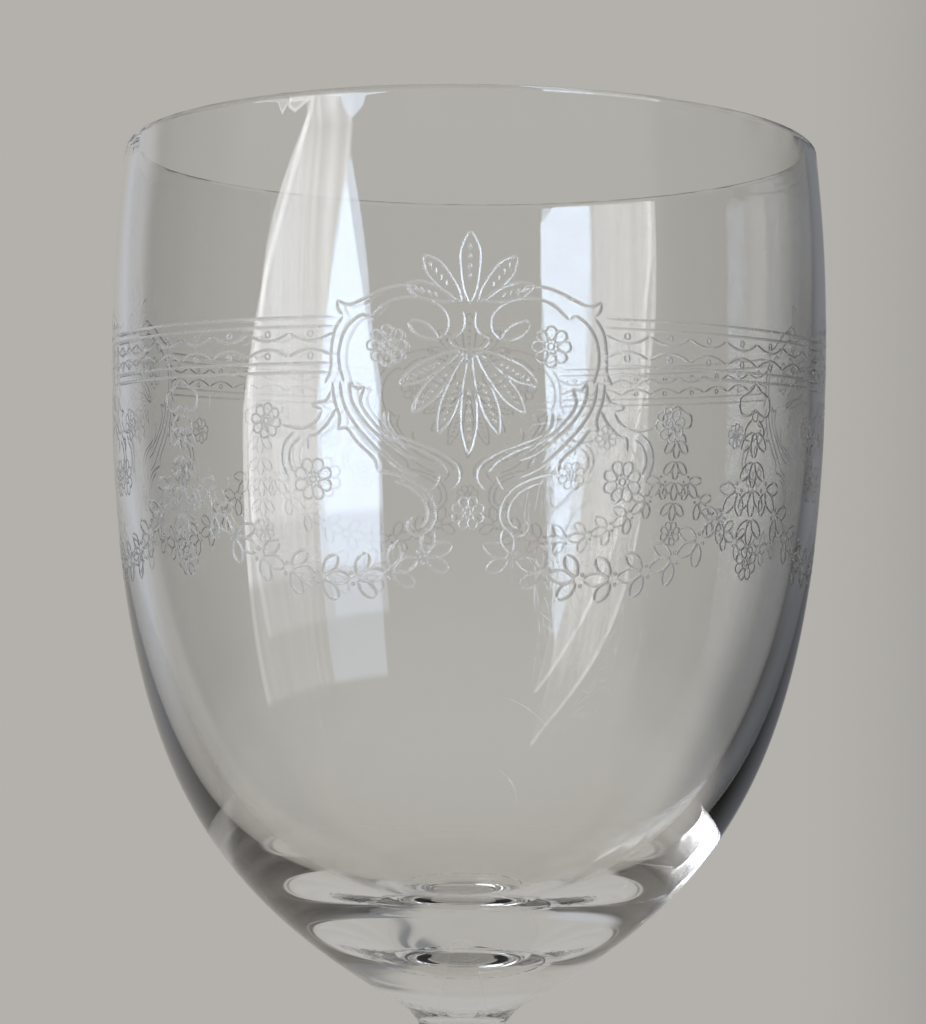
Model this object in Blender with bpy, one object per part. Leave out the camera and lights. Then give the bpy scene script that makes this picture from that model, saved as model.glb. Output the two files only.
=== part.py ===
"""A stemmed wine glass: a blown bowl with a thick base, a plain stem and a round foot.

Each piece is a half-profile turned about the Z axis. Lengths are in metres, +Z is up,
and the origin is on the table, under the centre of the foot.
"""

import math

import bmesh
import bpy
from mathutils import Vector

HEIGHT = 0.170
GAP = 0.0003                       # clearance between pieces that meet

# Bowl. A "reach" is the length of a curve's handle, so how far it runs before it bends.
RIM_RADIUS = 0.0360
RIM_WALL = 0.0012
RIM_REACH = 0.0075
RIM_LEAN = 0.0009                  # how far the wall leans out within that reach
BELLY_RADIUS = 0.0372
BELLY_WALL = 0.0015
BELLY_Z = 0.149
BELLY_UP_REACH = 0.0070
BELLY_DOWN_REACH = 0.0429
BASE_RADIUS = 0.0081
BASE_Z = 0.0818
BASE_SLOPE = math.radians(33.6)    # how steeply the bowl runs into the stem
BASE_REACH = 0.0228
CAVITY_FLOOR_Z = 0.0900
CAVITY_FLOOR_REACH = 0.0200
CAVITY_SIDE_REACH = 0.0435

# Stem
STEM_RADIUS = 0.0039
STEM_TOP_SETBACK = 0.0004          # the stem is this much slimmer than the bowl's base
STEM_TOP_FLARE = 0.0070            # height of the flare under the bowl
STEM_FOOT_FLARE = 0.0155           # height of the flare above the foot
STEM_FOOT_RADIUS = 0.0090

# Foot
FOOT_RADIUS = 0.0350
FOOT_TOP_Z = 0.0055
FOOT_EDGE = 0.0009                 # radius of the foot's rounded edge
FOOT_EDGE_Z = 0.0010
REST_RING_INNER = 0.0300
REST_RING_OUTER = 0.0335
HOLLOW_HEIGHT = 0.0014             # how far the underside rises inside the resting ring

BOWL_SIDES = 64
STEM_SIDES = 40
FOOT_SIDES = 64

TINT = (0.93, 0.95, 0.94)
ROUGHNESS = 0.02
GLASS_IOR = 1.52


def bezier(start, handle_1, handle_2, end, count):
    """Points of one cubic Bezier in (radius, height), without its first point."""
    a, b, c, d = (Vector(p) for p in (start, handle_1, handle_2, end))
    points = []
    for i in range(1, count + 1):
        t = i / count
        s = 1.0 - t
        points.append(a * s**3 + b * (3 * s * s * t) + c * (3 * s * t * t) + d * t**3)
    return points


def arc(centre, radius, start_deg, end_deg, count):
    """Points of a circular arc in (radius, height), without its first point."""
    points = []
    for i in range(1, count + 1):
        angle = math.radians(start_deg + (end_deg - start_deg) * i / count)
        points.append(Vector(centre) + radius * Vector((math.cos(angle), math.sin(angle))))
    return points


def bowl_profile():
    """Up the cavity from its floor, over the lip, and down the outside to the stem."""
    lip = RIM_WALL / 2
    lip_z = HEIGHT - lip
    lean_z = lip_z - RIM_REACH
    belly_up_z = BELLY_Z + BELLY_UP_REACH
    inner_rim = RIM_RADIUS - RIM_WALL
    inner_belly = BELLY_RADIUS - BELLY_WALL
    base = Vector((BASE_RADIUS, BASE_Z))
    slope = Vector((math.cos(BASE_SLOPE), math.sin(BASE_SLOPE)))

    points = [Vector((0.0, CAVITY_FLOOR_Z))]
    points += bezier(points[-1], (CAVITY_FLOOR_REACH, CAVITY_FLOOR_Z),
                     (inner_belly, BELLY_Z - CAVITY_SIDE_REACH), (inner_belly, BELLY_Z), 14)
    points += bezier(points[-1], (inner_belly, belly_up_z),
                     (inner_rim + RIM_LEAN, lean_z), (inner_rim, lip_z), 3)
    points += arc((RIM_RADIUS - lip, lip_z), lip, 180, 0, 4)
    points += bezier(points[-1], (RIM_RADIUS + RIM_LEAN, lean_z),
                     (BELLY_RADIUS, belly_up_z), (BELLY_RADIUS, BELLY_Z), 3)
    points += bezier(points[-1], (BELLY_RADIUS, BELLY_Z - BELLY_DOWN_REACH),
                     base + slope * BASE_REACH, base, 14)
    points.append(Vector((0.0, BASE_Z)))
    return points


def stem_profile():
    """A slim rod that flares into the bowl's base and onto the foot."""
    top = BASE_Z - GAP
    bottom = FOOT_TOP_Z + GAP
    waist_top = top - STEM_TOP_FLARE
    waist_bottom = bottom + STEM_FOOT_FLARE
    top_radius = BASE_RADIUS - STEM_TOP_SETBACK

    points = [Vector((0.0, top)), Vector((top_radius, top))]
    points += bezier(points[-1], (top_radius * 0.75, top - STEM_TOP_FLARE * 0.19),
                     (STEM_RADIUS, top - STEM_TOP_FLARE * 0.43), (STEM_RADIUS, waist_top), 7)
    points.append(Vector((STEM_RADIUS, waist_bottom)))
    points += bezier(points[-1], (STEM_RADIUS, bottom + STEM_FOOT_FLARE * 0.38),
                     (STEM_FOOT_RADIUS * 0.56, bottom + STEM_FOOT_FLARE * 0.14),
                     (STEM_FOOT_RADIUS, bottom), 8)
    points.append(Vector((0.0, bottom)))
    return points


def foot_profile():
    """A disc with a gently sloping top, a rounded edge and a shallow hollow below."""
    edge_radius = FOOT_RADIUS - FOOT_EDGE
    edge_top = FOOT_EDGE_Z + FOOT_EDGE
    rise = FOOT_TOP_Z - edge_top

    points = [Vector((0.0, FOOT_TOP_Z)), Vector((STEM_FOOT_RADIUS, FOOT_TOP_Z))]
    points += bezier(points[-1], (FOOT_RADIUS * 0.39, edge_top + rise * 0.61),
                     (FOOT_RADIUS * 0.63, edge_top + rise * 0.33), (edge_radius, edge_top), 7)
    points += arc((edge_radius, FOOT_EDGE_Z), FOOT_EDGE, 90, -45, 5)
    points.append(Vector((REST_RING_OUTER, 0.0)))
    points.append(Vector((REST_RING_INNER, 0.0)))
    points += bezier(points[-1], (REST_RING_INNER * 0.73, HOLLOW_HEIGHT * 0.9),
                     (REST_RING_INNER * 0.33, HOLLOW_HEIGHT), (0.0, HOLLOW_HEIGHT), 6)
    return points


def glass_material(name):
    """Clear, faintly green-grey glass."""
    material = bpy.data.materials.new(name)
    material.use_nodes = True
    shader = material.node_tree.nodes["Principled BSDF"]
    shader.inputs["Base Color"].default_value = (*TINT, 1.0)
    shader.inputs["Roughness"].default_value = ROUGHNESS
    shader.inputs["Metallic"].default_value = 0.0
    shader.inputs["IOR"].default_value = GLASS_IOR
    shader.inputs["Transmission Weight"].default_value = 1.0
    return material


def turned(name, profile, sides):
    """One closed solid: the half-profile swept once round the Z axis."""
    form = bmesh.new()
    verts = [form.verts.new((point.x, 0.0, point.y)) for point in profile]
    for upper, lower in zip(verts, verts[1:]):
        form.edges.new((upper, lower))
    mesh = bpy.data.meshes.new(name)
    form.to_mesh(mesh)
    form.free()
    mesh.materials.append(glass_material(name + "_glass"))

    piece = bpy.data.objects.new(name, mesh)
    bpy.context.scene.collection.objects.link(piece)
    sweep = piece.modifiers.new("Turn", "SCREW")
    sweep.axis = "Z"
    sweep.angle = math.tau
    sweep.steps = sides
    sweep.render_steps = sides
    sweep.use_merge_vertices = True
    sweep.merge_threshold = 0.00001
    sweep.use_smooth_shade = True


def main():
    for item in list(bpy.data.objects):
        bpy.data.objects.remove(item, do_unlink=True)
    turned("bowl", bowl_profile(), BOWL_SIDES)
    turned("stem", stem_profile(), STEM_SIDES)
    turned("foot", foot_profile(), FOOT_SIDES)


main()
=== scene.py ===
"""Looks of the etched wine glass: the bowl with its engraved ornament, the stem and the foot.

Lengths are in metres, except in the ornament, which is drawn in millimetres on the unrolled
outside of the bowl: across is the distance round the belly from the middle of a cartouche,
and up is the height above the rim, so it is negative.
"""

import math

import bmesh
import bpy
import numpy as np
from mathutils import Matrix, Vector
from mathutils.geometry import delaunay_2d_cdt


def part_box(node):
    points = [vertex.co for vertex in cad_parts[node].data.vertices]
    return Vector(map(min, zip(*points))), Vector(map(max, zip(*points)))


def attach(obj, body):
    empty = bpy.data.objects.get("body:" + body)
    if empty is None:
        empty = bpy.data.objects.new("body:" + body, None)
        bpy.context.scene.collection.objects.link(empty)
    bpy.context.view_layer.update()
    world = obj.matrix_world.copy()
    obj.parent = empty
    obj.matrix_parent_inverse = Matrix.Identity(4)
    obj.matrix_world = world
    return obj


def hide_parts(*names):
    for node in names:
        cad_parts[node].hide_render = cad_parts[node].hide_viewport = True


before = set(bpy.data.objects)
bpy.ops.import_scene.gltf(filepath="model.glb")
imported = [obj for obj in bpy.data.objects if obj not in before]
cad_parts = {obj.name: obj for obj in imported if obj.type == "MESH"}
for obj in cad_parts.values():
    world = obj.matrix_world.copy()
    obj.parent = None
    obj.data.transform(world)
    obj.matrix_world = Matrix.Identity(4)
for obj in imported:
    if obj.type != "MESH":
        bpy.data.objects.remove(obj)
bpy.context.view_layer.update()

MM = 0.001

# Driving sizes, from the frame
BOWL_LOW, BOWL_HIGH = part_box("bowl")
STEM_LOW, STEM_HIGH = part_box("stem")
FOOT_LOW, FOOT_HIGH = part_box("foot")
RIM_Z = BOWL_HIGH[2]
BELLY_RADIUS = (BOWL_HIGH[0] - BOWL_LOW[0]) / 2
FOOT_RADIUS = (FOOT_HIGH[0] - FOOT_LOW[0]) / 2
STEM_FOOT_RADIUS = (STEM_HIGH[0] - STEM_LOW[0]) / 2
BOWL_JOINT_Z = (BOWL_LOW[2] + STEM_HIGH[2]) / 2
FOOT_JOINT_Z = (STEM_LOW[2] + FOOT_HIGH[2]) / 2

# Bowl, as in the CAD model. A "reach" is how far a curve runs before it bends.
RIM_RADIUS = 0.0360
RIM_WALL = 0.0012
RIM_REACH = 0.0075
RIM_LEAN = 0.0009                  # how far the wall leans out within the rim's reach
BELLY_WALL = 0.0015
BELLY_DROP = 0.021                 # of the widest place, below the rim
BELLY_UP_REACH = 0.0070
BELLY_DOWN_REACH = 0.0429
BASE_RADIUS = 0.0081
BASE_SLOPE = math.radians(33.6)    # how steeply the bowl runs into the stem
BASE_REACH = 0.0228
CAVITY_DEPTH = 0.0800              # of the cavity's floor, below the rim
CAVITY_FLOOR_REACH = 0.0200
CAVITY_SIDE_REACH = 0.0435

# Stem and foot, as in the CAD model
STEM_RADIUS = 0.0039
STEM_TOP_FLARE = 0.0070            # height of the flare under the bowl
STEM_FOOT_FLARE = 0.0155           # height of the flare above the foot
FOOT_EDGE = 0.0009                 # radius of the foot's rounded edge
FOOT_EDGE_Z = 0.0010
REST_RING_INNER = 0.0300
REST_RING_OUTER = 0.0335
HOLLOW_HEIGHT = 0.0014             # how far the underside rises inside the resting ring

# Ornament, in millimetres
REPEATS = 4                        # cartouches round the bowl
ORNAMENT_TOP = -11.8
ORNAMENT_BOTTOM = -45.6
LINE = 0.30                        # width of an engraved line
DEPTH = 0.058                      # depth of an engraved line
STEP = 0.26                        # spacing of the points along a line
POINTED = 0.001                    # half the width at which a line has run out
SHALLOW = 0.04                     # share of the depth that is too little to cut
MARGIN = 0.45                      # plain points of the mesh keep this far from a line
SNAP = 1e-4                        # points this near the side of a tile lie on it
SLIVER = 1e-7                      # twice the area of a triangle that is too thin to keep

SIDES = 128                        # sides of the turned surfaces
ROW_GAP = 0.0004                   # least height of the rows next to the ornament
NO_RADIUS = 1e-7                   # a smaller radius is a point on the axis
WELD = 1e-6                        # vertices this close are one

# Glass
CLEAR, ETCHED, JOINT = 0, 1, 2     # material slots of a piece
INDEX = 1.58                       # refraction of heavy lead crystal
SMUDGE = 0.02                      # roughness of the worst smudges
RIPPLE = 0.00002                   # height of the ripple of blown glass
FROST = (0.12, 0.35)               # roughness of the etching, least and most

# Studio: radiance by direction
BACKDROP = (0.455, 0.440, 0.412)
SHADE = (0.034, 0.031, 0.027)      # the dark screen on the right
SOFT_SHADE = (0.078, 0.073, 0.066)  # the dark screen on the left
CORNER = (0.185, 0.190, 0.205)     # between the right screen and the backdrop
GLOW = (0.500, 0.508, 0.535)       # between the left screen and the backdrop
ROOM = (0.260, 0.255, 0.245)
CEILING = (0.500, 0.495, 0.480)
FLOOR_HAZE = (0.430, 0.415, 0.385)
CURTAIN_LIGHT = (2.9, 2.9, 3.0)
PANE_LIGHT = (5.0, 6.0, 7.6)
FLOOR_NEAR, FLOOR_FAR = 0.10, 0.22  # the floor fades out between these radii
FLOOR_GAP = 0.0002                 # air under the foot

# Window, in degrees round the room and above the horizon
WINDOW_JAMB = 26.9
CURTAIN_INNER, CURTAIN_OUTER = 46.4, 72.2
HEM = 1.4                          # width of the curtain's bright edge
WINDOW_FOOT, WINDOW_TOP = -28.0, 40.0
CRISP = 0.4                        # half the width of a crisp edge

# Camera
LENS = 68.8
EYE_DISTANCE = 0.1882              # from the glass's axis
EYE_DROP = 0.03485                 # below the rim
PITCH, YAW, ROLL = -0.013, 0.0024, 0.010


# ---------------------------------------------------------------- profiles

def bezier(start, handle_1, handle_2, end, count):
    """Points of one cubic Bezier in (radius, height), without its first point."""
    a, b, c, d = (np.array(p, float) for p in (start, handle_1, handle_2, end))
    t = np.linspace(0, 1, count + 1)[1:, None]
    s = 1 - t
    return list(a * s**3 + 3 * b * s * s * t + 3 * c * s * t * t + d * t**3)


def arc(centre, radius, start_deg, end_deg, count):
    """Points of a circular arc in (radius, height), without its first point."""
    angles = np.radians(np.linspace(start_deg, end_deg, count + 1)[1:])
    return [np.array(centre) + radius * np.array((math.cos(a), math.sin(a))) for a in angles]


LIP = RIM_WALL / 2
LIP_Z = RIM_Z - LIP
BELLY_Z = RIM_Z - BELLY_DROP


def outer_profile(upper=10, lower=60):
    """Outside of the bowl, from the lip down to the stem."""
    base = np.array((BASE_RADIUS, BOWL_JOINT_Z))
    slope = np.array((math.cos(BASE_SLOPE), math.sin(BASE_SLOPE)))
    points = [np.array((RIM_RADIUS, LIP_Z))]
    points += bezier(points[-1], (RIM_RADIUS + RIM_LEAN, LIP_Z - RIM_REACH),
                     (BELLY_RADIUS, BELLY_Z + BELLY_UP_REACH), (BELLY_RADIUS, BELLY_Z), upper)
    points += bezier(points[-1], (BELLY_RADIUS, BELLY_Z - BELLY_DOWN_REACH),
                     base + slope * BASE_REACH, base, lower)
    return np.array(points)


def inner_profile():
    """Inside of the bowl, from the cavity's floor up to the lip."""
    floor_z = RIM_Z - CAVITY_DEPTH
    radius = BELLY_RADIUS - BELLY_WALL
    rim = RIM_RADIUS - RIM_WALL
    points = [np.array((0.0, floor_z))]
    points += bezier(points[-1], (CAVITY_FLOOR_REACH, floor_z),
                     (radius, BELLY_Z - CAVITY_SIDE_REACH), (radius, BELLY_Z), 40)
    points += bezier(points[-1], (radius, BELLY_Z + BELLY_UP_REACH),
                     (rim + RIM_LEAN, LIP_Z - RIM_REACH), (rim, LIP_Z), 8)
    return np.array(points)


def stem_profile():
    """The stem, from the bowl's base down to the foot."""
    points = [np.array((BASE_RADIUS, BOWL_JOINT_Z))]
    points += bezier(points[-1], (BASE_RADIUS * 0.73, BOWL_JOINT_Z - STEM_TOP_FLARE * 0.19),
                     (STEM_RADIUS, BOWL_JOINT_Z - STEM_TOP_FLARE * 0.43),
                     (STEM_RADIUS, BOWL_JOINT_Z - STEM_TOP_FLARE), 36)
    points += bezier(points[-1], (STEM_RADIUS, BOWL_JOINT_Z * 0.65),
                     (STEM_RADIUS, BOWL_JOINT_Z * 0.45),
                     (STEM_RADIUS, FOOT_JOINT_Z + STEM_FOOT_FLARE), 12)
    points += bezier(points[-1], (STEM_RADIUS, FOOT_JOINT_Z + STEM_FOOT_FLARE * 0.38),
                     (STEM_FOOT_RADIUS * 0.56, FOOT_JOINT_Z + STEM_FOOT_FLARE * 0.14),
                     (STEM_FOOT_RADIUS, FOOT_JOINT_Z), 44)
    return np.array(points)


def foot_profile():
    """The foot, from the stem out over the top, round the edge and in under the hollow."""
    edge_radius = FOOT_RADIUS - FOOT_EDGE
    edge_top = FOOT_EDGE_Z + FOOT_EDGE
    rise = FOOT_JOINT_Z - edge_top
    points = [np.array((STEM_FOOT_RADIUS, FOOT_JOINT_Z))]
    points += bezier(points[-1], (FOOT_RADIUS * 0.39, edge_top + rise * 0.61),
                     (FOOT_RADIUS * 0.63, edge_top + rise * 0.33), (edge_radius, edge_top), 72)
    points += arc((edge_radius, FOOT_EDGE_Z), FOOT_EDGE, 90, -45, 12)
    points += bezier(points[-1], (REST_RING_OUTER + 0.0008, 0.0001), (REST_RING_OUTER + 0.0004, 0.0),
                     (REST_RING_OUTER, 0.0), 3)
    points += bezier(points[-1], (REST_RING_OUTER - 0.001, 0.0), (REST_RING_INNER + 0.001, 0.0),
                     (REST_RING_INNER, 0.0), 2)
    points += bezier(points[-1], (REST_RING_INNER * 0.73, HOLLOW_HEIGHT * 0.9),
                     (REST_RING_INNER * 0.33, HOLLOW_HEIGHT), (0.0, HOLLOW_HEIGHT), 54)
    return np.array(points)


def profile_normals(profile):
    """Outward normals (radius, height) of a profile that runs down its outer side."""
    tangents = np.gradient(profile, axis=0)
    normals = np.stack((-tangents[:, 1], tangents[:, 0]), axis=1)
    return normals / np.linalg.norm(normals, axis=1)[:, None]


# ---------------------------------------------------------------- ornament strokes

class Strokes:
    """Engraved lines: the points along each, half its width there, and if it closes."""

    def __init__(self):
        self.lines = []

    def add(self, points, closed=False, width=LINE, taper=0.5, step=STEP):
        points = resample(np.array(points, float), step, closed)
        half = np.full(len(points), width / 2)
        if not closed and taper > 0:
            gaps = np.linalg.norm(np.diff(points, axis=0), axis=1)
            along = np.concatenate(([0], np.cumsum(gaps)))
            end = np.minimum(along, along[-1] - along)
            half *= np.sqrt(np.clip(end / taper, 0, 1))
        self.lines.append((points, half, closed))


def resample(points, step, closed):
    """Evenly spaced points on a smooth curve (Catmull-Rom) through the given ones."""
    if closed:
        padded = np.vstack((points[-1], points, points[0], points[1]))
    else:
        padded = np.vstack((2 * points[0] - points[1], points, 2 * points[-1] - points[-2]))
    t = np.linspace(0, 1, 12, endpoint=False)[:, None]
    dense = []
    for p0, p1, p2, p3 in zip(padded, padded[1:], padded[2:], padded[3:]):
        dense.append(0.5 * (2 * p1 + (p2 - p0) * t + (2 * p0 - 5 * p1 + 4 * p2 - p3) * t**2
                            + (3 * p1 - p0 - 3 * p2 + p3) * t**3))
    dense.append(padded[-2][None])
    dense = np.vstack(dense)
    along = np.concatenate(([0], np.cumsum(np.linalg.norm(np.diff(dense, axis=0), axis=1))))
    count = max(4, round(along[-1] / step))
    at = np.linspace(0, along[-1], count + 1)
    even = np.stack((np.interp(at, along, dense[:, 0]), np.interp(at, along, dense[:, 1])), axis=1)
    return even[:-1] if closed else even


def turn(points, degrees, origin=(0, 0)):
    """Points turned anticlockwise about the origin and moved to start from it."""
    a = math.radians(degrees)
    matrix = np.array(((math.cos(a), math.sin(a)), (-math.sin(a), math.cos(a))))
    return np.array(points, float) @ matrix + np.array(origin, float)


def leaf(strokes, base, degrees, length, width, beads=0, swell=0.55):
    """A leaf from its base: pointed when plain, and round with beads down the middle if asked."""
    side = [(0, 0), (length * 0.25, width * 0.34), (length * swell, width * 0.5),
            (length * 0.88, width * 0.30), (length, 0)]
    other = [(x, -y) for x, y in side]
    if beads:
        strokes.add(turn(side + other[-2::-1], degrees, base), taper=0.3)
    else:
        strokes.add(turn(side, degrees, base), taper=0.3)
        strokes.add(turn(other, degrees, base), taper=0.3)
    for i in range(beads):
        x = length * (0.34 + 0.54 * (i + 0.5) / beads)
        strokes.add(turn([(x - 0.24, -0.2), (x + 0.05, 0.02), (x + 0.2, 0.24)], degrees, base),
                    taper=0.1, step=0.16)


def flower(strokes, centre, radius, petals=8, phase=0):
    """A round flower of separate petals about a small ring."""
    inner = radius * 0.30
    half = radius * 0.30
    shape = [(inner, 0), (radius * 0.62, half * 0.86), (radius * 0.90, half * 0.70), (radius, 0),
             (radius * 0.90, -half * 0.70), (radius * 0.62, -half * 0.86)]
    for i in range(petals):
        strokes.add(turn(shape, phase + 360 * i / petals, centre), closed=True, width=0.22,
                    step=0.2)
    ring(strokes, centre, radius * 0.17)


def ring(strokes, centre, radius, width=0.2):
    """A small engraved ring."""
    points = [(radius * math.cos(a), radius * math.sin(a)) for a in np.linspace(0, math.tau, 9)[:-1]]
    strokes.add(turn(points, 0, centre), closed=True, width=width, step=0.18)


def palmette(strokes):
    """Five leaves that rise over the cartouche."""
    for lean, length, width in ((0, 6.2, 1.75), (40, 5.2, 1.55), (72, 4.5, 1.35)):
        base = (0.016 * lean, -19.1 + 0.004 * lean)
        leaf(strokes, base, 90 - lean, length, width, beads=4, swell=0.68)


def fan(strokes):
    """Seven long leaves that hang inside the cartouche, under a small collar."""
    for lean, length in ((0, 8.4), (19, 7.2), (40, 6.7), (61, 5.9)):
        base = (0.012 * lean, -23.4 + 0.006 * lean)
        leaf(strokes, base, lean - 90, length, 1.4, beads=6, swell=0.66)
    strokes.add([(0, -23.0), (0.8, -22.9), (1.5, -22.55), (1.75, -22.0)])
    strokes.add([(0.55, -19.7), (0.45, -20.8), (0.85, -21.6), (1.75, -22.0)])
    leaf(strokes, (2.6, -22.1), 30, 3.0, 1.2)


def cartouche(strokes):
    """The scrolled frame: two lines that run together from the palmette to the foot scroll."""
    strokes.add([(3.9, -18.1), (5.6, -17.5), (7.4, -17.8), (9.2, -18.6), (10.6, -19.1),
                 (11.6, -18.6)])
    strokes.add([(11.6, -18.6), (11.5, -19.4), (11.0, -20.0)])
    strokes.add([(11.0, -20.0), (11.8, -21.3), (12.1, -23.0), (12.15, -24.6), (12.7, -25.9)])
    strokes.add([(2.7, -22.2), (1.9, -21.3), (2.0, -19.9), (3.2, -18.9), (5.0, -18.5),
                 (7.0, -18.9), (8.7, -20.3)])
    strokes.add([(8.7, -20.3), (9.3, -19.95), (10.4, -20.7), (11.2, -22.1), (11.4, -23.9),
                 (10.9, -25.8)])
    # leafy sides
    strokes.add([(12.0, -25.6), (11.8, -27.2), (11.3, -28.8), (11.5, -29.9)])
    strokes.add([(11.5, -29.9), (10.7, -29.7), (9.6, -31.0), (8.2, -32.3), (7.9, -33.4)])
    strokes.add([(11.3, -25.6), (11.0, -27.4), (10.0, -29.2), (8.4, -31.0), (6.2, -33.0),
                 (4.2, -33.9)])
    strokes.add([(10.4, -25.6), (10.2, -27.2), (9.2, -28.9), (7.6, -30.5), (5.8, -31.8),
                 (4.2, -32.4)])
    strokes.add([(9.0, -26.1), (9.4, -27.4), (8.6, -28.8), (7.2, -30.2), (5.4, -31.2)])
    strokes.add([(9.0, -26.1), (9.8, -26.3), (10.3, -25.6)])
    strokes.add([(7.3, -28.2), (7.2, -29.4), (6.2, -30.7), (5.2, -31.6)])
    # foot scrolls
    strokes.add([(7.9, -33.4), (6.2, -33.7), (4.3, -34.5), (3.1, -35.8), (2.8, -37.3),
                 (3.4, -38.4), (4.4, -38.9), (5.2, -38.4), (5.2, -37.7), (4.6, -37.6)])
    strokes.add([(6.4, -34.2), (4.9, -34.8), (3.8, -35.9), (3.5, -37.2), (3.9, -38.0),
                 (4.5, -38.2)])
    strokes.add([(6.2, -30.3), (4.4, -31.0), (2.4, -31.8), (1.0, -32.9), (0.8, -34.1),
                 (1.5, -35.0)])
    strokes.add([(5.6, -31.0), (3.8, -31.7), (2.4, -32.6), (1.7, -33.5)])
    strokes.add([(2.4, -33.6), (2.7, -34.4), (3.2, -35.0)])


def flowers(strokes):
    """Flowers inside the cartouche, under it, and on the two curling stems beside it."""
    flower(strokes, (7.1, -22.6), 1.75)
    flower(strokes, (0.0, -36.9), 1.45, phase=22.5)
    flower(strokes, (18.6, -29.0), 1.55, phase=10)
    flower(strokes, (13.9, -34.1), 1.85, phase=22.5)
    strokes.add([(12.1, -26.4), (12.6, -27.3), (13.9, -27.6), (12.9, -28.1)])
    strokes.add([(12.9, -28.1), (13.6, -29.1), (14.9, -29.7), (16.9, -29.4)])
    strokes.add([(11.6, -27.9), (12.4, -29.2), (13.5, -30.2), (14.2, -30.4), (14.3, -31.6)])
    strokes.add([(15.0, -30.4), (15.9, -31.2), (16.2, -32.4), (15.8, -33.6)])
    strokes.add([(15.6, -29.9), (16.6, -30.9), (16.9, -32.4), (16.4, -33.9)])


def sprig(strokes, point, degrees):
    """Three laurel leaves that spring from one point, with two berries."""
    for lean, length in ((0, 2.5), (50, 2.2), (-50, 2.2)):
        leaf(strokes, turn([(0.3, 0)], degrees + lean, point)[0], degrees + lean, length, 1.15)
    for lean in (118, -118):
        ring(strokes, turn([(0.55, 0)], degrees + lean, point)[0], 0.14)


def swag(strokes, spacing):
    """A laurel garland from the side drop down to the foot of the cartouche."""
    path = resample(np.array([(29.0, -31.9), (27.2, -34.6), (24.4, -37.7), (20.6, -40.4),
                              (16.2, -42.1), (11.6, -42.7), (7.4, -42.2), (3.9, -40.7),
                              (0.9, -39.4)]), spacing, False)
    for here, ahead in zip(path[1:-1], path[2:]):
        way = here - ahead
        sprig(strokes, here, math.degrees(math.atan2(-way[1], -way[0])))


def drop(strokes, centre):
    """A bow, a chain of leaves and a flower that hang from the band."""
    strokes.add([(centre, -25.0), (centre - 0.9, -25.7), (centre - 2.2, -26.4),
                 (centre - 2.1, -27.7), (centre - 1.0, -27.9), (centre, -27.3)])
    strokes.add([(centre - 0.4, -28.2), (centre - 1.3, -29.0), (centre - 1.5, -30.2)])
    ring(strokes, (centre, -28.0), 0.42)
    for z in (-29.4, -32.1, -34.8, -37.4):
        leaf(strokes, (centre, z), -90, 2.4, 1.0)
        leaf(strokes, (centre - 0.25, z), -132, 2.3, 1.05)
    flower(strokes, (centre, -41.4), 1.6, phase=22.5)


def band(strokes, centre):
    """Plain lines and two scalloped lines with a dot in every lobe."""
    start = 11.9
    lobes = 8
    pitch = 2 * (centre - start) / lobes
    for z in (-20.05, -20.85, -24.05, -24.85):
        strokes.add([(start, z), (centre + 1, z)], step=1.0, taper=0.2, width=0.26)
    middle = -22.45
    for i in range(lobes // 2 + 1):
        x = start + pitch * (i + 0.5)
        for side in (1, -1):
            lobe = [(x - pitch / 2, middle + 1.05 * side), (x - pitch * 0.25, middle + 0.55 * side),
                    (x, middle + 0.36 * side), (x + pitch * 0.25, middle + 0.55 * side),
                    (x + pitch / 2, middle + 1.05 * side)]
            strokes.add(lobe, taper=0.15, width=0.28)
            ring(strokes, (x, middle + 0.95 * side), 0.26)


def draw_ornament():
    """Every engraved line from the middle of a cartouche to the middle of a side drop."""
    drop_at = math.pi * BELLY_RADIUS / MM / REPEATS
    strokes = Strokes()
    palmette(strokes)
    fan(strokes)
    cartouche(strokes)
    flowers(strokes)
    swag(strokes, 3.35)
    drop(strokes, drop_at)
    band(strokes, drop_at)
    return strokes.lines, drop_at


# ---------------------------------------------------------------- ornament mesh

def groove_depth(points, lines):
    """Depth of the engraving at each point: a V across every line, the deepest where two cross."""
    centres = np.vstack([line[0] for line in lines])
    half = np.concatenate([line[1] for line in lines])
    centres, half = centres[half > POINTED], half[half > POINTED]
    depth = np.zeros(len(points))
    for block in np.array_split(np.arange(len(points)), len(points) // 1000 + 1):
        gap = np.linalg.norm(points[block][:, None] - centres[None], axis=2)
        cut = (1 - gap / half) * half / (LINE / 2)
        depth[block] = np.clip(cut.max(axis=1), 0, None)
    depth[depth < SHALLOW] = 0
    return depth * DEPTH


def stroke_rows(points, half, closed):
    """The middle and the two edges of an engraved line."""
    if closed:
        tangent = np.roll(points, -1, axis=0) - np.roll(points, 1, axis=0)
    else:
        tangent = np.gradient(points, axis=0)
    tangent /= np.linalg.norm(tangent, axis=1)[:, None]
    side = np.stack((-tangent[:, 1], tangent[:, 0]), axis=1) * half[:, None]
    return points, points + side, points - side


def anticlockwise(flat, tris):
    """The triangles without slivers, each with its corners in anticlockwise order."""
    first, second = flat[tris[:, 1]] - flat[tris[:, 0]], flat[tris[:, 2]] - flat[tris[:, 0]]
    area = first[:, 0] * second[:, 1] - first[:, 1] * second[:, 0]
    tris, area = tris[np.abs(area) > SLIVER], area[np.abs(area) > SLIVER]
    tris[area < 0] = tris[area < 0][:, ::-1]
    return tris


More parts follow.
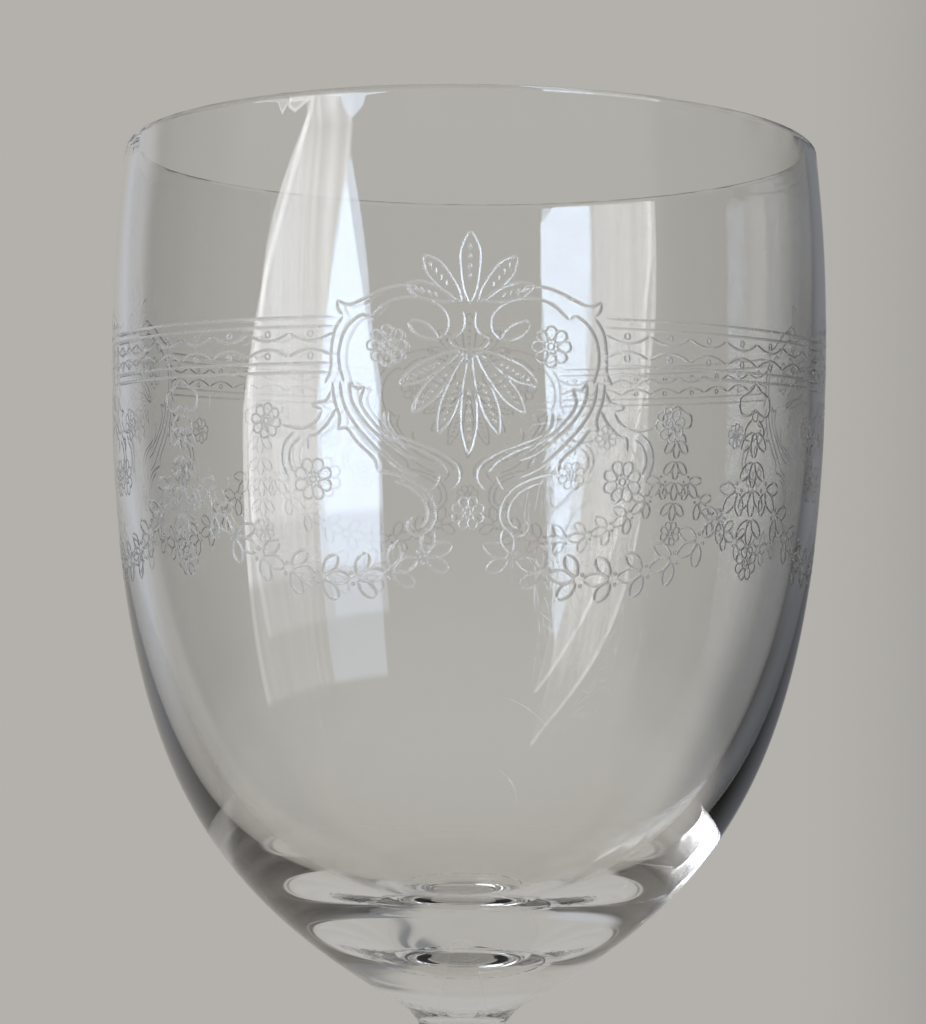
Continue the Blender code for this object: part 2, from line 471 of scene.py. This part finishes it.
def ornament_tile(lines, width, columns):
    """Flat triangles of half a repeat: points (across, up), depths and triangles."""
    low, high = ORNAMENT_BOTTOM, ORNAMENT_TOP
    rows = round((high - low) / (width / columns))
    across = np.linspace(0, width, columns + 1)
    up = np.linspace(low, high, rows + 1)
    points, edges = [], []

    border = [(x, low) for x in across] + [(width, y) for y in up[1:]]
    border += [(x, high) for x in across[::-1][1:]] + [(0, y) for y in up[::-1][1:-1]]
    points += border
    edges += [(i, (i + 1) % len(border)) for i in range(len(border))]

    centres = np.vstack([line[0] for line in lines])
    for x in across[1:-1]:
        for y in up[1:-1]:
            if np.linalg.norm(centres - (x, y), axis=1).min() > MARGIN:
                points.append((x, y))

    for middle, half, closed in lines:
        for row in stroke_rows(middle, half, closed):
            first = len(points)
            points += [tuple(p) for p in row]
            last = len(row) if closed else len(row) - 1
            edges += [(first + i, first + (i + 1) % len(row)) for i in range(last)]

    result = delaunay_2d_cdt([Vector(p) for p in points], edges, [], 0, 1e-5)
    flat = np.array([tuple(p) for p in result[0]])
    tris = np.array([f for f in result[2] if len(f) == 3])
    middle = flat[tris].mean(axis=1)
    inside = (middle[:, 0] > 0) & (middle[:, 0] < width) & (middle[:, 1] > low) & (middle[:, 1] < high)
    tris = tris[inside]
    tris = anticlockwise(flat, tris)
    used, tris = np.unique(tris, return_inverse=True)
    flat = flat[used]
    flat[np.abs(flat[:, 0]) < SNAP, 0] = 0
    flat[np.abs(flat[:, 0] - width) < SNAP, 0] = width
    return flat, groove_depth(flat, lines), tris.reshape(-1, 3)


# ---------------------------------------------------------------- meshes

class Surface:
    """A mesh in the making, with a true surface normal kept for every vertex."""

    def __init__(self):
        self.verts, self.normals, self.faces, self.slots = [], [], [], []

    def add(self, verts, normals, faces, slots):
        first = sum(len(v) for v in self.verts)
        self.verts.append(np.array(verts))
        self.normals.append(np.array(normals))
        self.faces += [tuple(first + i for i in face) for face in faces]
        self.slots += list(slots)

    def turned(self, profile, normals, slot=CLEAR):
        """A surface of revolution. A point on the axis becomes a fan."""
        angles = np.arange(SIDES) * math.tau / SIDES
        verts, bent, faces = [], [], []
        for (r, z), (nr, nz) in zip(profile, normals):
            for a in angles:
                verts.append((r * math.sin(a), -r * math.cos(a), z))
                bent.append((nr * math.sin(a), -nr * math.cos(a), nz))
        for row in range(len(profile) - 1):
            for i in range(SIDES):
                j = (i + 1) % SIDES
                quad = (row * SIDES + i, (row + 1) * SIDES + i, (row + 1) * SIDES + j,
                        row * SIDES + j)
                if profile[row][0] < NO_RADIUS:
                    quad = quad[:3]
                elif profile[row + 1][0] < NO_RADIUS:
                    quad = (quad[0], quad[1], quad[3])
                faces.append(quad)
        self.add(verts, bent, faces, [slot] * len(faces))

    def build(self, name, materials):
        """The object: doubles merged, smooth where clear and flat where engraved."""
        form = bmesh.new()
        store = [form.verts.layers.float.new(key) for key in ("nx", "ny", "nz")]
        verts = []
        for block, bent in zip(self.verts, self.normals):
            for place, normal in zip(block, bent):
                vert = form.verts.new(place)
                for layer, value in zip(store, normal):
                    vert[layer] = value
                verts.append(vert)
        for face, slot in zip(self.faces, self.slots):
            made = form.faces.new([verts[i] for i in face])
            made.material_index = slot
            made.smooth = True
        bmesh.ops.remove_doubles(form, verts=form.verts, dist=WELD)
        bmesh.ops.triangulate(form, faces=form.faces)
        loops = []
        form.normal_update()
        for face in form.faces:
            for loop in face.loops:
                if face.material_index == CLEAR:
                    loops.append(tuple(loop.vert[layer] for layer in store))
                else:
                    loops.append(tuple(face.normal))
        mesh = bpy.data.meshes.new(name)
        form.to_mesh(mesh)
        form.free()
        for key in ("nx", "ny", "nz"):
            mesh.attributes.remove(mesh.attributes[key])
        for material in materials:
            mesh.materials.append(material)
        mesh.normals_split_custom_set(loops)
        piece = bpy.data.objects.new(name, mesh)
        bpy.context.scene.collection.objects.link(piece)
        return piece


def cap(surface, radius, z, up):
    """The flat face where two fused pieces meet."""
    profile = np.array(((0.0, z), (radius, z)))
    if not up:
        profile = profile[::-1]
    normal = (0.0, 1.0 if up else -1.0)
    surface.turned(profile, (normal, normal), JOINT)


def build_bowl(materials):
    """The bowl, with the ornament cut into its outside."""
    profile = outer_profile(200, 1200)
    normals = profile_normals(profile)
    heights = profile[:, 1][::-1]

    def outside(z):
        """Radius and normal of the bowl's outside at each height."""
        values = (profile[:, 0], normals[:, 0], normals[:, 1])
        return [np.interp(z, heights, value[::-1]) for value in values]

    surface = Surface()
    lines, width = draw_ornament()
    columns = SIDES // (2 * REPEATS)
    flat, depth, tris = ornament_tile(lines, width, columns)
    z = RIM_Z + flat[:, 1] * MM
    radius, nr, nz = outside(z)
    slots = np.where(depth[tris].max(axis=1) > 0, ETCHED, CLEAR)
    for repeat in range(REPEATS):
        for mirror in (1, -1):
            angle = mirror * flat[:, 0] * MM / BELLY_RADIUS + repeat * math.tau / REPEATS
            reach = radius - depth * MM * nr
            verts = np.stack((reach * np.sin(angle), -reach * np.cos(angle), z - depth * MM * nz), 1)
            bent = np.stack((nr * np.sin(angle), -nr * np.cos(angle), nz), 1)
            surface.add(verts, bent, tris[:, ::mirror], slots)

    top, bottom = RIM_Z + ORNAMENT_TOP * MM, RIM_Z + ORNAMENT_BOTTOM * MM
    coarse = outer_profile(10, 60)
    above = np.array([p for p in coarse if p[1] > top + ROW_GAP])
    below = np.array([p for p in coarse if p[1] < bottom - ROW_GAP])
    for part, edge, first in ((above, top, False), (below, bottom, True)):
        join = np.array((outside(edge)[0], edge))
        part = np.vstack((join, part)) if first else np.vstack((part, join))
        _, nr, nz = outside(part[:, 1])
        surface.turned(part, np.stack((nr, nz), 1))

    lip = np.array([(RIM_RADIUS - RIM_WALL, LIP_Z)] + arc((RIM_RADIUS - LIP, LIP_Z), LIP, 180, 0, 10))
    centre = np.array((RIM_RADIUS - LIP, LIP_Z))
    surface.turned(lip, (lip - centre) / LIP)
    inner = inner_profile()
    surface.turned(inner, profile_normals(inner))
    cap(surface, BASE_RADIUS, BOWL_JOINT_Z, up=False)
    return surface.build("etched_bowl", materials)


def build_stem(materials):
    surface = Surface()
    profile = stem_profile()
    cap(surface, BASE_RADIUS, BOWL_JOINT_Z, up=True)
    surface.turned(profile, profile_normals(profile))
    cap(surface, STEM_FOOT_RADIUS, FOOT_JOINT_Z, up=False)
    return surface.build("drawn_stem", materials)


def build_foot(materials):
    surface = Surface()
    profile = foot_profile()
    cap(surface, STEM_FOOT_RADIUS, FOOT_JOINT_Z, up=True)
    surface.turned(profile, profile_normals(profile))
    return surface.build("round_foot", materials)


# ---------------------------------------------------------------- materials

def new_material(name):
    material = bpy.data.materials.new(name)
    material.use_nodes = True
    return material, material.node_tree, material.node_tree.nodes["Principled BSDF"]


def noise(tree, scale, detail):
    """Noise in the object's own coordinates."""
    place = tree.nodes.new("ShaderNodeTexCoord")
    texture = tree.nodes.new("ShaderNodeTexNoise")
    texture.inputs["Scale"].default_value = scale
    texture.inputs["Detail"].default_value = detail
    tree.links.new(place.outputs["Object"], texture.inputs["Vector"])
    return texture.outputs["Fac"]


def remap(tree, value, start, end, low=0.0, high=1.0, smooth=False):
    """Goes from low to high as the value goes from start to end, and no further."""
    node = tree.nodes.new("ShaderNodeMapRange")
    if smooth:
        node.interpolation_type = "SMOOTHSTEP"
    limits = {"From Min": start, "From Max": end, "To Min": low, "To Max": high}
    for socket, number in limits.items():
        node.inputs[socket].default_value = number
    tree.links.new(value, node.inputs["Value"])
    return node.outputs["Result"]


def clear_glass(name):
    """Clear glass: faint smudges in its roughness and the slow ripple of blown glass."""
    material, tree, shader = new_material(name)
    shader.inputs["Base Color"].default_value = (0.985, 0.99, 0.985, 1)
    shader.inputs["IOR"].default_value = INDEX
    shader.inputs["Transmission Weight"].default_value = 1.0
    smears = remap(tree, noise(tree, scale=60, detail=3), 0.5, 0.8, 0.0, SMUDGE)
    tree.links.new(smears, shader.inputs["Roughness"])

    bump = tree.nodes.new("ShaderNodeBump")
    bump.inputs["Strength"].default_value = 1.0
    bump.inputs["Distance"].default_value = RIPPLE
    tree.links.new(noise(tree, scale=45, detail=1), bump.inputs["Height"])
    tree.links.new(bump.outputs["Normal"], shader.inputs["Normal"])
    return material


def etched_glass():
    """The sides of the engraved lines, slightly frosted."""
    material, tree, shader = new_material("etched_glass")
    shader.inputs["Base Color"].default_value = (0.97, 0.975, 0.97, 1)
    shader.inputs["IOR"].default_value = INDEX
    shader.inputs["Transmission Weight"].default_value = 0.86
    frost = remap(tree, noise(tree, scale=2500, detail=2), 0.0, 1.0, *FROST)
    tree.links.new(frost, shader.inputs["Roughness"])
    return material


def fused_joint():
    """Nothing shows where two gathers of glass are fused."""
    material, _, shader = new_material("fused_joint")
    shader.inputs["Alpha"].default_value = 0.0
    return material


# ---------------------------------------------------------------- room

class Sky:
    """Numbers and colours worked out from the direction of a ray, in the world's node tree."""

    def __init__(self, tree):
        self.tree, self.nodes, self.links = tree, tree.nodes, tree.links
        coordinates = self.nodes.new("ShaderNodeTexCoord")
        parts = self.nodes.new("ShaderNodeSeparateXYZ")
        self.links.new(coordinates.outputs["Generated"], parts.inputs["Vector"])
        left = self.times(parts.outputs["X"], -1.0)
        near = self.times(parts.outputs["Y"], -1.0)
        self.turn = self.math("DEGREES", self.math("ARCTAN2", left, near))
        self.rise = self.math("DEGREES", self.math("ARCSINE", parts.outputs["Z"]))

    def math(self, operation, *values):
        node = self.nodes.new("ShaderNodeMath")
        node.operation = operation
        for socket, value in zip(node.inputs, values):
            if isinstance(value, float):
                socket.default_value = value
            else:
                self.links.new(value, socket)
        return node.outputs["Value"]

    def times(self, *values):
        """The product of two or more values."""
        product = values[0]
        for value in values[1:]:
            product = self.math("MULTIPLY", product, value)
        return product

    def leaned(self, value, amount, start):
        """The start plus a share of the value."""
        return self.math("MULTIPLY_ADD", value, amount, start)

    def step(self, value, start, end):
        """Goes smoothly from 0 at start to 1 at end, whichever is the greater."""
        return remap(self.tree, value, start, end, smooth=True)

    def past(self, value, edge):
        """1 past a crisp edge and 0 before it."""
        return self.step(value, edge - CRISP, edge + CRISP)

    def before(self, value, edge):
        """1 before a crisp edge and 0 past it."""
        return self.step(value, edge + CRISP, edge - CRISP)

    def between(self, value, start, end, soft):
        """1 from start to end, with soft edges outside them."""
        return self.times(self.step(value, start - soft, start), self.step(value, end + soft, end))

    def folds(self, scale, low, high):
        """Soft upright folds, by direction round the room."""
        node = self.nodes.new("ShaderNodeTexNoise")
        node.noise_dimensions = "1D"
        node.inputs["Scale"].default_value = scale
        node.inputs["Detail"].default_value = 2.0
        self.links.new(self.turn, node.inputs["W"])
        return remap(self.tree, node.outputs["Fac"], 0.35, 0.65, low, high)

    def mix(self, amount, under, over):
        """The colour under, covered by the other one by the given amount."""
        node = self.nodes.new("ShaderNodeMix")
        node.data_type = "RGBA"
        self.links.new(amount, node.inputs["Factor"])
        for socket, value in ((node.inputs[6], under), (node.inputs[7], over)):
            if isinstance(value, tuple):
                socket.default_value = (*value, 1)
            else:
                self.links.new(value, socket)
        return node.outputs[2]

    def lit(self, colour, amount, under):
        """A colour of the given brightness, added to the one under it."""
        scaled = self.nodes.new("ShaderNodeVectorMath")
        scaled.operation = "SCALE"
        scaled.inputs["Vector"].default_value = colour
        self.links.new(amount, scaled.inputs["Scale"])
        total = self.nodes.new("ShaderNodeVectorMath")
        total.operation = "ADD"
        self.links.new(under, total.inputs[0])
        self.links.new(scaled.outputs["Vector"], total.inputs[1])
        return total.outputs["Vector"]


def room_walls(sky):
    """The walls round the glass, with a dark screen on each side, the floor and the ceiling."""
    walls = sky.mix(sky.step(sky.turn, 118.0, 130.0), ROOM, GLOW)
    walls = sky.mix(sky.step(sky.turn, 142.0, 156.0), walls, BACKDROP)
    walls = sky.mix(sky.step(sky.turn, -158.0, -170.0), walls, BACKDROP)
    walls = sky.mix(sky.step(sky.rise, 12.0, 35.0), walls, BACKDROP)
    walls = sky.mix(sky.step(sky.rise, -14.0, -28.0), walls, FLOOR_HAZE)

    upright = sky.between(sky.rise, -29.0, 24.0, 8.0)
    right_screen = sky.times(sky.between(sky.turn, -158.0, -64.0, 8.0), upright)
    left_screen = sky.times(sky.step(sky.turn, 73.0, 90.0), sky.step(sky.turn, 125.0, 117.0), upright)
    right_shade = sky.mix(sky.step(sky.turn, -128.0, -150.0), SHADE, CORNER)
    walls = sky.mix(right_screen, walls, right_shade)
    walls = sky.mix(left_screen, walls, SOFT_SHADE)
    return sky.mix(sky.step(sky.rise, 40.0, 62.0), walls, CEILING)


def window(sky):
    """How bright the window's curtain and its bare pane are. Their edges lean above the horizon."""
    above = sky.math("MAXIMUM", sky.rise, 0.0)
    below = sky.math("MINIMUM", sky.rise, 0.0)
    inner = sky.leaned(sky.math("MINIMUM", above, 17.0), 0.47, sky.turn)
    outer = sky.leaned(below, 0.12, sky.leaned(above, 0.80, sky.turn))
    jamb = sky.leaned(above, -0.65, sky.turn)

    # the window's foot is shaded, and the curtain gets darker towards its top
    height = sky.math("MULTIPLY_ADD", sky.step(sky.rise, -15.5, -13.5), 0.65, 0.35)
    height = sky.times(height, sky.between(sky.rise, WINDOW_FOOT, WINDOW_TOP, 1.5))
    darker = sky.math("MULTIPLY_ADD", sky.step(sky.rise, 28.0, 15.0), 0.70, 0.30)
    curtain = sky.times(sky.past(inner, CURTAIN_INNER), sky.before(outer, CURTAIN_OUTER),
                        sky.folds(0.35, 0.70, 1.15), darker)
    hem = sky.times(sky.between(outer, CURTAIN_OUTER - HEM, CURTAIN_OUTER, CRISP), 0.9)
    pane = sky.times(sky.before(inner, CURTAIN_INNER), sky.past(jamb, WINDOW_JAMB),
                     sky.step(sky.rise, 18.0, 16.5))
    return sky.times(sky.math("ADD", curtain, hem), height), sky.times(pane, height)


def build_world():
    """A pale studio with one curtained window on the left and a dark screen on each side.

    Turn is in degrees round the room: 0 is the side that the cartouche faces, 90 is the left
    of the glass and 180 is behind it. Rise is in degrees above the horizon.
    """
    world = bpy.data.worlds.new("studio")
    world.use_nodes = True
    bpy.context.scene.world = world
    sky = Sky(world.node_tree)
    curtain, pane = window(sky)
    light = sky.lit(CURTAIN_LIGHT, curtain, room_walls(sky))
    light = sky.lit(PANE_LIGHT, pane, light)
    sky.links.new(light, sky.nodes["Background"].inputs["Color"])


def build_floor():
    """A plain pale table top that fades into the studio round the glass."""
    mesh = bpy.data.meshes.new("table_top")
    form = bmesh.new()
    bmesh.ops.create_circle(form, cap_ends=True, radius=FLOOR_FAR, segments=96)
    form.to_mesh(mesh)
    form.free()
    floor = bpy.data.objects.new("table_top", mesh)
    floor.location.z = -FLOOR_GAP
    bpy.context.scene.collection.objects.link(floor)

    material, tree, shader = new_material("pale_table")
    shader.inputs["Base Color"].default_value = (0.90, 0.87, 0.82, 1)
    shader.inputs["Roughness"].default_value = 0.55
    place = tree.nodes.new("ShaderNodeTexCoord")
    radius = tree.nodes.new("ShaderNodeVectorMath")
    radius.operation = "LENGTH"
    tree.links.new(place.outputs["Object"], radius.inputs[0])
    fade = remap(tree, radius.outputs["Value"], FLOOR_FAR, FLOOR_NEAR, smooth=True)
    tree.links.new(fade, shader.inputs["Alpha"])
    mesh.materials.append(material)


def build_camera():
    camera = bpy.data.cameras.new("camera")
    holder = bpy.data.objects.new("camera", camera)
    bpy.context.scene.collection.objects.link(holder)
    camera.sensor_fit = "HORIZONTAL"
    camera.sensor_width = 36.0
    camera.lens = LENS
    camera.clip_start = 0.01
    place = Matrix.Translation((0.0, -EYE_DISTANCE, RIM_Z - EYE_DROP))
    yaw = Matrix.Rotation(YAW, 4, "Z")
    pitch = Matrix.Rotation(math.radians(90) + PITCH, 4, "X")
    roll = Matrix.Rotation(ROLL, 4, "Z")
    holder.matrix_world = place @ yaw @ pitch @ roll
    bpy.context.scene.camera = holder


def render_settings():
    """Plain colours, and enough bounces for light to cross every wall of the glass."""
    scene = bpy.context.scene
    scene.view_settings.view_transform = "Standard"
    scene.cycles.max_bounces = 24
    scene.cycles.transmission_bounces = 24
    scene.cycles.glossy_bounces = 16
    scene.cycles.transparent_max_bounces = 24


def main():
    etched, joint = etched_glass(), fused_joint()
    for node, build in (("bowl", build_bowl), ("stem", build_stem), ("foot", build_foot)):
        piece = build([clear_glass(node + "_glass"), etched, joint])
        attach(piece, "root")
        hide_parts(node)
    build_world()
    build_floor()
    build_camera()
    render_settings()


main()
